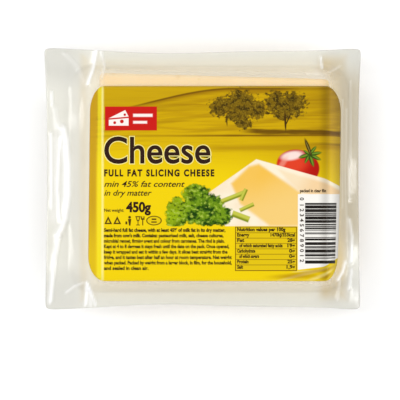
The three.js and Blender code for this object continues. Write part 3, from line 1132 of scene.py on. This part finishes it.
# %% The whole print
FAR_OUT = 99
WORDS_RIGHT, TABLE_LEFT, FOOD_LEFT, CODE_LEFT = ZONE_LINES_X
HILLS_LOW, CODE_TOP, FOOD_LOW = ZONE_LINES_Y
FIELD = (print_ground, print_shades, print_lower_field)
ZONES = (
    # name, left, right, low, high, what is printed there, with the shade and light painted on it
    ("hills_left", -FAR_OUT, WORDS_RIGHT, HILLS_LOW, FAR_OUT,
        (print_ground, print_hills, paint_left_end_light, print_tag)),
    ("hills_right", WORDS_RIGHT, FAR_OUT, HILLS_LOW, FAR_OUT,
        (print_ground, print_hills, print_shades, paint_right_end_shade, print_trees)),
    ("words", -FAR_OUT, WORDS_RIGHT, FOOD_LOW, HILLS_LOW,
        (*FIELD, paint_left_end_light, print_signs)),
    ("herbs", WORDS_RIGHT, FOOD_LEFT, FOOD_LOW, HILLS_LOW,
        (*FIELD, print_slices, print_herbs, print_chives)),
    ("food", FOOD_LEFT, FAR_OUT, CODE_TOP, HILLS_LOW,
        (*FIELD, print_tomato, print_slices, paint_right_end_shade)),
    ("slice", FOOD_LEFT, CODE_LEFT, FOOD_LOW, CODE_TOP, (print_ground, print_slices)),
    ("bar_code", CODE_LEFT, FAR_OUT, -FAR_OUT, CODE_TOP,
        (print_ground, print_slices, paint_crinkle_light, print_bar_code, paint_right_end_shade)),
    ("small_print", -FAR_OUT, TABLE_LEFT, -FAR_OUT, FOOD_LOW, (print_ground, paint_left_end_light)),
    ("table", TABLE_LEFT, CODE_LEFT, -FAR_OUT, FOOD_LOW,
        (print_ground, paint_crinkle_light, print_table)),
)


def finish_zone(name, prints):
    p = Printing("label_" + name, ink(231, 207, 16))
    for lay_print in prints:
        lay_print(p)
    where = p.add("ShaderNodeTexCoord").outputs["Object"]
    fibre = p.noise(where, 700.0, 3.0)
    cockle = p.noise(where, 60.0, 2.0)
    relief = p.bump(fibre * 0.15 + cockle, 0.0003, 0.25)
    print(name, "nodes:", len(p.tree.nodes))
    return p.close({
        "Base Color": p.tint,
        "Roughness": 0.3,
        "Normal": relief,
        "Specular IOR Level": 0.06,
        "Coat Weight": 0.08,
        "Coat Roughness": 0.1,
    })


for number, (name, left, right, low, high, prints) in enumerate(ZONES):
    label.data.materials.append(finish_zone(name, prints))
    for face, centre in zip(label.data.polygons, flat_centres):
        if left < centre.x < right and low < centre.y < high:
            face.material_index = number

# %% [markdown]
# The label gets its paper's thickness only now, so that the back and the cut edge take the
# same printing.

# %% Label thickness
LABEL_THICKNESS = 0.1
give_wall(label, LABEL_THICKNESS, -1)
tell_triangles(label)

# %% [markdown]
# The words are set in type, because letters need true outlines, which shader maths would
# give only with great effort. They say only what any such pack says. Each line is a text
# object made a mesh, a thin film of ink laid on the label, and the title has a pale halo.

# %% Type
def finish_ink(name, tint, rough):
    f = Finish(name)
    where = f.add("ShaderNodeTexCoord").outputs["Object"]
    wear = f.noise(where, 900.0, 3.0)
    shade = f.mix(wear * 0.25, tint, tuple(min(1.0, c * 1.3 + 0.004) for c in tint[:3]) + (1.0,))
    return f.close({"Base Color": shade, "Roughness": rough, "Specular IOR Level": 0.12})


brown_ink = finish_ink("brown_ink", ink(46, 24, 14), 0.35)
small_ink = finish_ink("small_ink", ink(52, 34, 8), 0.35)
halo_ink = finish_ink("halo_ink", ink(250, 236, 150), 0.4)
INK_HALF_THICKNESS = 0.01
INK_LIFT = 0.04
CAP_SHARE = 0.69


def type_line(words, left, low, width, cap, bold=0.0, slant=0.0, apart=1.0, fineness=2, down=False):
    """A flat line of type in mm from its lower left corner, reading downwards if down is set.

    Its capitals are cap high, and the whole line is stretched to its width.
    """
    bpy.ops.object.select_all(action="DESELECT")
    bpy.ops.object.text_add()
    line = bpy.context.object
    line.data.body = words
    line.data.offset = bold
    line.data.shear = slant
    line.data.space_character = apart
    line.data.extrude = INK_HALF_THICKNESS
    line.data.resolution_u = fineness
    bpy.ops.object.convert(target="MESH")
    line = bpy.context.object
    along, up, thick = points_of(line).T
    along = (along - along.min()) / (along.max() - along.min()) * width
    up = up / CAP_SHARE * cap
    if down:
        placed = (left + up, low - along, thick)
    else:
        placed = (left + along, low + up, thick)
    line.data.vertices.foreach_set("co", np.stack(placed, axis=1).ravel())
    return line


def lay_type(name, lines, lift, finish):
    """Joins lines of type into one piece and lays it on the label."""
    bpy.ops.object.select_all(action="DESELECT")
    for line in lines:
        line.select_set(True)
    bpy.context.view_layer.objects.active = lines[0]
    if len(lines) > 1:
        bpy.ops.object.join()
    piece = bpy.context.object
    piece.name = name
    bpy.ops.object.mode_set(mode="EDIT")
    bpy.ops.mesh.select_all(action="SELECT")
    bpy.ops.mesh.remove_doubles(threshold=0.0005)
    bpy.ops.object.mode_set(mode="OBJECT")
    lay_on_pack(piece, LABEL_LIFT + lift)
    piece.data.materials.clear()
    piece.data.materials.append(finish)
    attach(piece, "root")
    tell_triangles(piece)


# %% [markdown]
# The title is laid twice: a bolder one in pale ink first, which leaves a rim round the dark
# one on top of it. The lines below it tell the kind, the fat content and the weight.

# %% Title and words
HALO_LIFT, TITLE_LIFT = 0.03, 0.06
halo = type_line("Cheese", -47.5, 7.4, 51.6, 12.4, 0.036, fineness=6)
lay_type("title_halo", [halo], HALO_LIFT, halo_ink)
title = type_line("Cheese", -47.0, 7.4, 50.6, 12.4, 0.014, fineness=6)
lay_type("title", [title], TITLE_LIFT, brown_ink)
lay_type("words", [
    type_line("FULL FAT SLICING CHEESE", -47.0, 1.2, 52.4, 3.0, 0.045, apart=1.3, fineness=4),
    type_line("min 45% fat content", -47.0, -3.9, 38.4, 2.7, 0.010, 0.3, fineness=4),
    type_line("in dry matter", -47.0, -8.1, 22.6, 2.7, 0.010, 0.3, fineness=4),
    type_line("450g", -36.6, -15.8, 11.8, 4.5, 0.04, fineness=4),
    type_line("Net weight:", -47.0, -15.8, 9.4, 1.5, 0.015),
], INK_LIFT, brown_ink)

# %% [markdown]
# The small print lists only what any such cheese has in it and how it is kept.

# %% Small print
SMALL_CAP = 1.62
FIRST_LINE = -25.3
LINE_PITCH = 2.59
SMALL_LEFT = -47.1
HALF_BOLD, BOLD = 0.038, 0.045
first = "Semi-hard full fat cheese, with at least 45% of milk fat in its dry matter,"
second_line = FIRST_LINE - LINE_PITCH
small_lines = [
    type_line(first, SMALL_LEFT, FIRST_LINE, 57.8, SMALL_CAP, BOLD),
    type_line("made from cow's milk. Contains:", SMALL_LEFT, second_line, 25.4, SMALL_CAP, BOLD),
    type_line("pasteurised milk, salt, cheese cultures,", -21.0, second_line, 30.8, SMALL_CAP, HALF_BOLD),
]
for number, (words, width) in enumerate((
    ("microbial rennet, firming agent and colour from carotenes. The rind is plain.", 57.4),
    ("Kept at 4 to 8 degrees it stays fresh until the date on the pack. Once opened,", 59.6),
    ("keep it wrapped and eat it within a few days. It slices best straight from the", 58.8),
    ("fridge, and it tastes best after half an hour at room temperature. Net weight", 60.8),
    ("when packed. Packed by weight from a larger block, in film, for the household,", 60.8),
    ("and sealed in clean air.", 21.2),
)):
    low = FIRST_LINE - (number + 2) * LINE_PITCH
    small_lines.append(type_line(words, SMALL_LEFT, low, width, SMALL_CAP, HALF_BOLD))
lay_type("small_words", small_lines, INK_LIFT, small_ink)

# %% [markdown]
# The table gives plain food values, and the figures beside the bars count from 0.

# %% Table words and figures
TABLE_TOP = -25.0
WORDS_LEFT, FIGURES_RIGHT = 16.3, 43.8
heading = type_line("Nutrition values per 100g", WORDS_LEFT, TABLE_TOP, 23.0, SMALL_CAP, BOLD)
table_lines = [heading]
for number, (words, indent, width, figures, from_right) in enumerate((
    ("Energy", 0, 5.8, "1470kJ/353kcal", 11.6),
    ("Fat", 0, 3.4, "28g", 3.6),
    ("of which saturated fatty acids", 1.0, 20.6, "19g", 3.6),
    ("Carbohydrate", 0, 8.6, "0g", 2.8),
    ("of which sugars", 1.0, 9.4, "0g", 2.8),
    ("Protein", 0, 5.4, "25g", 3.6),
    ("Salt", 0, 2.8, "1,9g", 4.0),
)):
    low = TABLE_TOP - (number + 1) * TABLE_PITCH
    left = WORDS_LEFT + indent
    table_lines.append(type_line(words, left, low, width, SMALL_CAP, HALF_BOLD))
    left = FIGURES_RIGHT - from_right
    table_lines.append(type_line(figures, left, low, from_right, SMALL_CAP, HALF_BOLD))
lay_type("table_words", table_lines, INK_LIFT, small_ink)
lay_type("code_figures", [
    type_line("0", 46.2, -9.0, 1.4, 1.8, 0.02, down=True),
    type_line("123456789012", 46.2, -12.4, 27.4, 1.8, 0.02, apart=1.6, down=True),
    type_line("packed in clear film", 46.2, -6.5, 12.8, 1.5, 0.03),
], INK_LIFT, small_ink)
